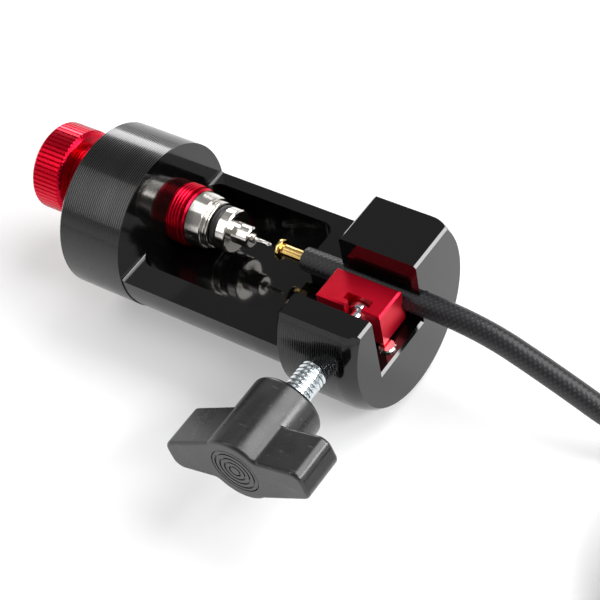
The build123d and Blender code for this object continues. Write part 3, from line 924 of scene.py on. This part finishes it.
# %% Fluted section of the needle
needle_radius = 0.425
section_corners = 16
corners_per_flute = 4
flute_share = 0.62  # of the radius, at the bottom of a flute
bpy.ops.object.select_all(action="DESELECT")
bpy.ops.mesh.primitive_circle_add(
    vertices=section_corners, radius=needle_radius * MM, fill_type="NGON",
    location=(collar_end * MM, 0, 0), rotation=(0, pi / 2, 0))
flutes = bpy.context.object
bpy.ops.object.transform_apply(location=True, rotation=True, scale=True)
for index, corner in enumerate(flutes.data.vertices):
    if index % corners_per_flute == 0:
        corner.co.y *= flute_share
        corner.co.z *= flute_share
print("needle section with", section_corners // corners_per_flute, "flutes")

# %% Twist the section into a needle
needle_end = high("needle", 0) / MM
point_length = 0.5
point_share = 0.45
flute_steps = 12
twist = radians(9)  # at each step
flute_rise = (needle_end - point_length - collar_end) / flute_steps * MM
bpy.ops.object.mode_set(mode="EDIT")
bpy.ops.mesh.select_all(action="SELECT")
for step in range(flute_steps):
    bpy.ops.mesh.extrude_region_move(TRANSFORM_OT_translate={"value": (flute_rise, 0, 0)})
    bpy.ops.transform.rotate(value=twist, orient_axis="X", center_override=(0, 0, 0))
bpy.ops.mesh.extrude_region_move(TRANSFORM_OT_translate={"value": (point_length * MM, 0, 0)})
bpy.ops.transform.resize(
    value=(1, point_share, point_share), center_override=(needle_end * MM, 0, 0))
bpy.ops.mesh.select_all(action="SELECT")
bpy.ops.mesh.normals_make_consistent(inside=False)
bpy.ops.object.mode_set(mode="OBJECT")
needle_piece = join(needle_collar, flutes)
dress(needle_piece, 0.02, polished_steel, "needle", "pusher", sharp=40)

# %% [markdown]
# ## Brass insert
#
# The insert is a turned tube with a flange, a mouth for the needle, a plain shank and three barbs
# that bite into the hose. Its section is drawn from the bore outwards, and the bore is left as a
# blind hole near the end, where the hose hides it.

# %% Brass insert with its mouth and barbs
flange_start = low("brass_insert", 0) / MM
insert_end = high("brass_insert", 0) / MM
flange_end = flange_start + 1.0
flange_radius = node_radius("brass_insert")
mouth_end = flange_start + 0.8
mouth_radius = 1.2
shank_radius = 1.4
core_radius = 1.2
bore_radius = 0.7
plain_end = flange_start + 6.2
barb_count = 3
barb_pitch = (insert_end - plain_end) / barb_count
insert_steps = [
    (insert_end - 0.6, bore_radius), (mouth_end, bore_radius), (mouth_end, mouth_radius),
    (flange_start, mouth_radius), (flange_start, flange_radius - 0.2),
    (flange_start + 0.2, flange_radius), (flange_end - 0.1, flange_radius),
    (flange_end, flange_radius - 0.1), (flange_end, shank_radius), (plain_end, shank_radius),
    (plain_end, core_radius),
]
for barb in range(barb_count):
    barb_start = plain_end + barb * barb_pitch
    insert_steps += [(barb_start + 0.2, shank_radius), (barb_start + barb_pitch, core_radius)]
insert_piece = turned("turned_brass_insert", insert_steps, sides=64)
dress(insert_piece, 0.05, turned_brass, "brass_insert", "insert")

# %% [markdown]
# ## Pieces that keep their CAD shape
#
# These nodes are right as they are, small or mostly hidden, and only get their finish. The wing
# knob's rounds and grooves are real geometry in the CAD already.

# %% CAD nodes that keep their own shape
for node_name, finish, slot_name in (
    ("rest_pins", polished_steel, "polished_steel"),
    ("swivel_clip", polished_steel, "polished_steel"),
    ("thrust_ball", polished_steel, "polished_steel"),
    ("o_ring", nitrile, "black_rubber"),
    ("knob_bolt", black_oxide, "black_oxide"),
    ("hose_liner", inner_tube, "hose_liner"),
    ("hose_jacket", held_hose_nylon, "hose_jacket"),
    ("wing_knob", moulded_nylon, "black_plastic"),
    ("knob_cap", moulded_nylon, "black_plastic"),
):
    cover(frame["nodes"][node_name], finish)
    print(node_name, "is", finish.name)
cover(hose, hose_nylon)

# %% [markdown]
# ## Bench and light
#
# A plain white bench comes first. It glows a little, as a light table does, which keeps its
# shadows pale.

# %% Bench
bench_size = 6  # m
bench_gap = 0.05 * MM  # keeps the bench off the pieces that lie on it
bpy.ops.object.select_all(action="DESELECT")
bpy.ops.mesh.primitive_plane_add(size=bench_size, location=(0, 0, bench_z - bench_gap))
bench = bpy.context.object
bench.name = "bench"
bench_paint, tree, shader = new_finish(
    "bench_white", Base_Color=linear("#d6d6d6"), Roughness=0.8,
    Emission_Color=(1, 1, 1, 1), Emission_Strength=0.3)
bench.data.materials.append(bench_paint)
print("bench", bench_size, "m wide")

# %% [markdown]
# Black gloss only looks black where it mirrors something dark. So the air is dark overhead and
# bright along the horizon: flat tops look black, and every side that leans outwards turns grey.

# %% Sky
world = bpy.data.worlds.new("studio")
bpy.context.scene.world = world
world.use_nodes = True
sky = world.node_tree
look = add_node(sky, "ShaderNodeTexCoord")
rise = add_node(sky, "ShaderNodeSeparateXYZ", {"Vector": look.outputs["Generated"]})
horizon, overhead = 1.1, 0.3
shade = add_node(sky, "ShaderNodeMapRange", {
    "Value": rise.outputs["Z"], "From Min": 0.05, "From Max": 0.35,
    "To Min": horizon, "To Max": overhead}, interpolation_type="SMOOTHSTEP")
sky.links.new(shade.outputs[0], sky.nodes["Background"].inputs["Strength"])
sky.nodes["Background"].inputs["Color"].default_value = (1, 1, 1, 1)
print("sky strength", horizon, "at the horizon and", overhead, "overhead")

# %% [markdown]
# Gloss shows lights, not paint. Each soft box is placed where one kind of surface mirrors it: the
# strip on the rear head's lathe marks, the pusher box on the plated nose, the left box on the
# rear head's top, the edge box on every chamfer, and the right box on the knob's hub and stud.

# %% Soft boxes
def soft_box(name, aim, direction, distance, width, height, radiance):
    """An area light that looks at a point. Its width runs along X, as far as it can."""
    data = bpy.data.lights.new(name, "AREA")
    data.shape = "RECTANGLE"
    data.size = width
    data.size_y = height
    data.energy = pi * width * height * radiance
    lamp = bpy.data.objects.new(name, data)
    bpy.context.collection.objects.link(lamp)
    ray = Vector(direction).normalized()
    across = (Vector((1, 0, 0)) - ray * ray.x).normalized()
    lamp.location = Vector(aim) + ray * distance
    lamp.rotation_euler = Matrix((across, ray.cross(across), ray)).transposed().to_euler()
    print(name, [round(v, 2) for v in lamp.location])


# %% Light the press
# Aim, direction to the light, distance, width, height (all in metres), and radiance
for name, *setting in (
    ("rear_head_strip", (0, 0, 0), (-0.385, -0.345, 0.47), 0.7, 0.11, 0.68, 3.2),
    ("pusher_box", (0, 0, 0), (-0.24, 0.0, 0.65), 0.7, 0.1, 0.5, 2.2),
    ("left_back_box", (0, 0, 0), (-0.577, 0.74, 0.35), 0.8, 0.25, 0.2, 10.0),
    ("edge_box", (0.04, 0, 0.01), (0.76, 0.15, 0.53), 0.8, 0.16, 0.9, 15.0),
    ("right_back_box", (0.05, 0, 0), (0.35, 0.45, 0.82), 0.8, 0.55, 0.45, 5.4),
):
    soft_box(name, *setting)
